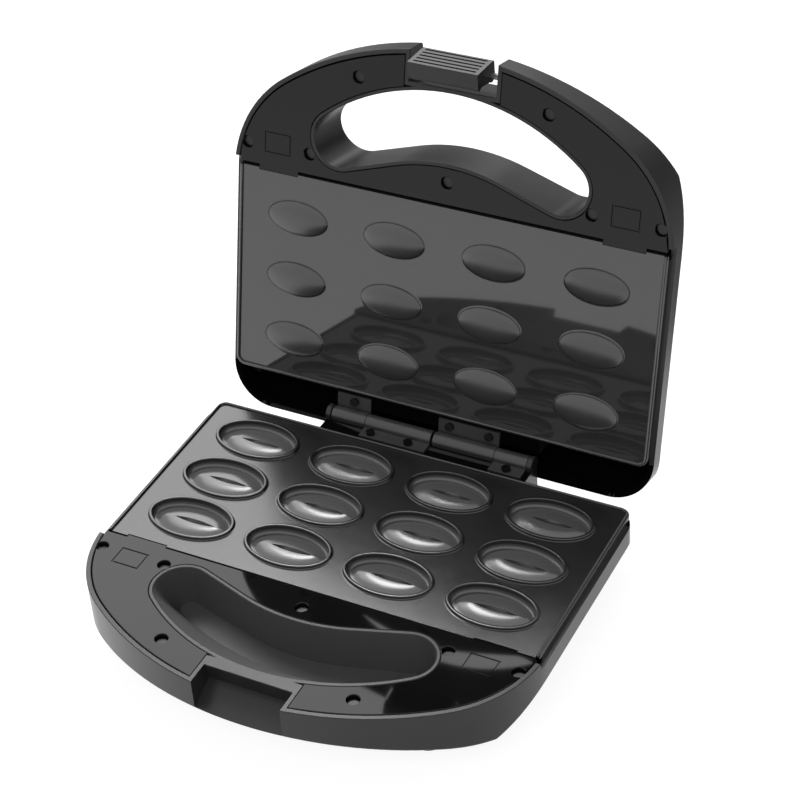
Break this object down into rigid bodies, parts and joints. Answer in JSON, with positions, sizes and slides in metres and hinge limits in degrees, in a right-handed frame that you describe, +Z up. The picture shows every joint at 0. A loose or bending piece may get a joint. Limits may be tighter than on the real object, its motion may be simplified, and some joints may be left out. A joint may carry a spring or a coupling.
{
  "type": "sandwich maker",
  "caption": "Hinged electric table appliance with a moulded handle in each half, a snap latch and two cast baking plates with rows of oval shell moulds, standing open.",
  "frame": {"origin": "centre of the box round the open object, on the table under its feet", "axes": "+Y from the handle to the hinge, +X along the hinge, +Z up; the lid stands open"},
  "size_m": [0.2264, 0.2548, 0.2255],
  "materials": {
    "casing": "glossy black moulded plastic",
    "handle_cover": "dark satin moulded plastic",
    "baking_plate": "cast aluminium with a dark non-stick coating",
    "screw": "blackened steel",
    "heater_sheath": "dull steel tube",
    "terminal": "plain steel",
    "tray": "bright sheet",
    "nut": "zinc plated",
    "hinge": "plain pressed steel",
    "pin": "plain steel",
    "foot": "black rubber",
    "gland": "black rubber",
    "terminal_block": "cream moulding",
    "fuse": "sleeve",
    "thermostat": "plain can",
    "lens": "tinted clear plastic",
    "lamp": "neon lamp",
    "latch": "glossy black moulded plastic"
  },
  "bodies": {
    "base": {"base_casing": "casing", "base_handle_cover": "handle_cover", "base_cover_screws": "screw", "base_plate": "baking_plate", "base_heater": "heater_sheath", "base_heater_terminals": "terminal", "base_heat_tray": "tray", "base_plate_nuts": "nut", "base_hinge_long": "hinge", "base_hinge_short": "hinge", "base_hinge_screws": "screw", "hinge_pin_left": "pin", "hinge_pin_right": "pin", "rubber_feet": "foot", "cord_gland": "gland", "terminal_block": "terminal_block", "thermal_fuse": "fuse"},
    "lid": {"lid_casing": "casing", "lid_handle_cover": "handle_cover", "lid_cover_screws": "screw", "lid_plate": "baking_plate", "lid_heater": "heater_sheath", "lid_heater_terminals": "terminal", "lid_heat_tray": "tray", "lid_plate_nuts": "nut", "thermostat": "thermostat", "lid_hinge_short": "hinge", "lid_hinge_long": "hinge", "lid_hinge_screws": "screw", "lamp_lenses": "lens", "indicator_lamps": "lamp", "latch_pin": "pin"},
    "latch": {"latch_lever": "latch"}
  },
  "joints": [
    {"name": "lid_hinge", "type": "hinge", "parent": "base", "child": "lid", "pos_m": [0, 0.0651, 0.03893], "axis": [1, 0, 0], "range_deg": [0, 103.8]},
    {"name": "latch_hinge", "type": "hinge", "parent": "lid", "child": "latch", "pos_m": [0, 0.11466, 0.21736], "axis": [1, 0, 0], "range_deg": [0, 10]}
  ]
}
